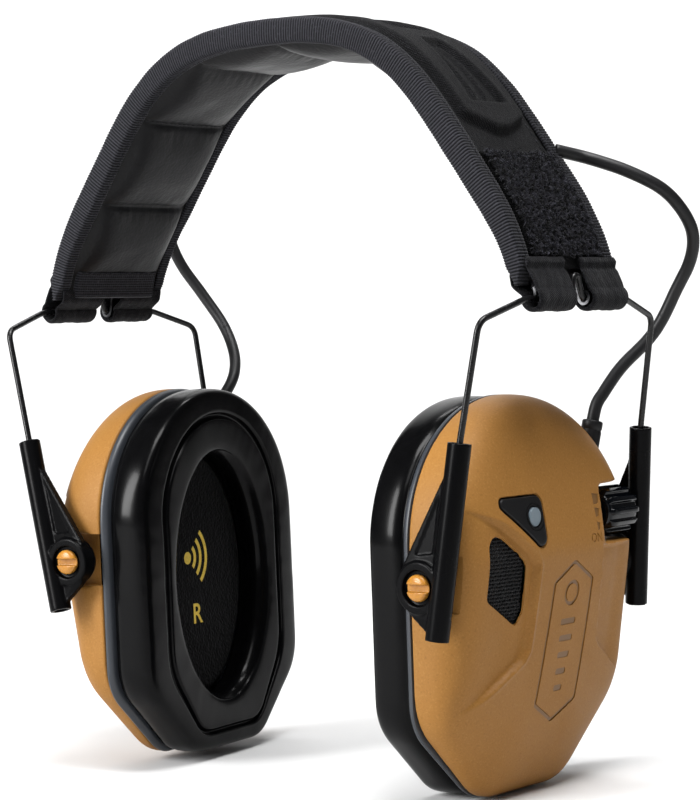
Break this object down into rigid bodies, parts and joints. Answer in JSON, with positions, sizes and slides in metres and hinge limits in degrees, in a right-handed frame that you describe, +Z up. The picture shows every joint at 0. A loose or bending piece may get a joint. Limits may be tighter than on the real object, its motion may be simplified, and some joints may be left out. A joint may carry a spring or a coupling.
{
  "type": "earmuff hearing protector",
  "caption": "Over-the-head electronic earmuffs: padded fabric headband, wire bails, tan cups with black cushions, a ribbed volume knob and a mode button.",
  "frame": {"origin": "centre of the underside of the object's box, level with the bottom of the cups, with the cables left out", "axes": "+X towards the wearer's left cup, +Y towards the back of the head, +Z up"},
  "size_m": [0.1969, 0.1054, 0.2173],
  "materials": {
    "tan_shell": "satin coyote-tan moulded plastic with a fine texture",
    "black_gloss": "glossy black, smooth",
    "black_satin": "satin black moulded plastic",
    "blue_grey": "satin dark blue-grey plastic",
    "black_fabric": "matte black woven fabric",
    "black_leather": "soft dark leatherette, stitched across",
    "black_rubber": "matte black rubber",
    "black_wire": "black coated spring wire",
    "spring_steel": "plain spring steel, hidden in the band",
    "orange_stud": "glossy tan-orange plastic",
    "foam": "open-cell black foam",
    "green_board": "green circuit board",
    "button_grey": "pale blue-grey rubber button",
    "steel": "plain metal"
  },
  "bodies": {
    "headband": {"headband_cover": "black_fabric", "spring_band": "spring_steel", "headband_pad": "black_leather", "front_binding": "black_fabric", "rear_binding": "black_fabric", "left_hook_patch": "black_fabric", "right_hook_patch": "black_fabric", "left_hem_strap": "black_fabric", "right_hem_strap": "black_fabric", "left_front_loop": "black_fabric", "left_rear_loop": "black_fabric", "right_front_loop": "black_fabric", "right_rear_loop": "black_fabric", "left_band_cable": "black_rubber", "right_band_cable": "black_rubber"},
    "left_bail": {"left_wire_bail": "black_wire", "left_arm_cable": "black_rubber"},
    "left_yoke": {"left_front_arm": "black_satin", "left_rear_arm": "black_satin", "left_cup_cable": "black_rubber"},
    "left_cup": {"left_outer_shell": "tan_shell", "left_seat_ring": "blue_grey", "left_ear_cushion": "black_gloss", "left_foam_liner": "foam", "left_baffle": "black_satin", "left_speaker": "steel", "left_microphone": "steel", "left_mic_mesh": "black_fabric", "left_strain_relief": "black_rubber", "left_front_stud": "orange_stud", "left_rear_stud": "orange_stud", "left_bezel": "black_satin", "potentiometer": "steel", "circuit_board": "green_board"},
    "right_bail": {"right_wire_bail": "black_wire", "right_arm_cable": "black_rubber"},
    "right_yoke": {"right_front_arm": "black_satin", "right_rear_arm": "black_satin", "right_cup_cable": "black_rubber"},
    "right_cup": {"right_outer_shell": "tan_shell", "right_seat_ring": "blue_grey", "right_ear_cushion": "black_gloss", "right_foam_liner": "foam", "right_baffle": "black_satin", "right_speaker": "steel", "right_microphone": "steel", "right_mic_mesh": "black_fabric", "right_strain_relief": "black_rubber", "right_front_stud": "orange_stud", "right_rear_stud": "orange_stud", "right_bezel": "black_satin", "battery_upper": "steel", "battery_lower": "steel"},
    "volume_knob_body": {"volume_knob": "black_gloss"},
    "mode_button_body": {"mode_button": "button_grey"},
    "battery_door_body": {"battery_door": "tan_shell"}
  },
  "joints": [
    {"name": "left_fold", "type": "hinge", "parent": "headband", "child": "left_bail", "pos_m": [0.089, 0, 0.13491], "axis": [0, 1, 0], "range_deg": [-25, 14], "deforming": ["left_band_cable", "left_arm_cable"]},
    {"name": "left_size_slide", "type": "slide", "parent": "left_bail", "child": "left_yoke", "axis": [0.1044, 0, 0.9945], "range_m": [-0.009, 0.009], "deforming": ["left_arm_cable", "left_cup_cable"]},
    {"name": "left_cup_tilt", "type": "hinge", "parent": "left_yoke", "child": "left_cup", "pos_m": [0.0706, 0, 0.06061], "axis": [0, 1, 0], "range_deg": [-10, 10], "deforming": ["left_cup_cable"]},
    {"name": "right_fold", "type": "hinge", "parent": "headband", "child": "right_bail", "pos_m": [-0.089, 0, 0.13491], "axis": [0, -1, 0], "range_deg": [-25, 11], "deforming": ["right_band_cable", "right_arm_cable"]},
    {"name": "right_size_slide", "type": "slide", "parent": "right_bail", "child": "right_yoke", "axis": [-0.2033, -0.0018, 0.9791], "range_m": [-0.009, 0.009], "deforming": ["right_arm_cable", "right_cup_cable"]},
    {"name": "right_cup_tilt", "type": "hinge", "parent": "right_yoke", "child": "right_cup", "pos_m": [-0.0645, 0, 0.06191], "axis": [0.1478, -0.989, 0], "range_deg": [-10, 10], "deforming": ["right_cup_cable"]},
    {"name": "volume_turn", "type": "hinge", "parent": "left_cup", "child": "volume_knob_body", "pos_m": [0.07597, 0.033, 0.075], "axis": [0, 1, 0], "range_deg": [-150, 150]},
    {"name": "mode_press", "type": "slide", "parent": "left_cup", "child": "mode_button_body", "axis": [-0.9999, 0, -0.0157], "range_m": [0, 0.0006], "stiffness_N_per_m": 400, "springref_m": -0.0004},
    {"name": "battery_door_open", "type": "hinge", "parent": "right_cup", "child": "battery_door_body", "pos_m": [-0.08018, 0.00372, 0.05992], "axis": [0.1478, -0.989, 0], "range_deg": [0, 80]}
  ]
}
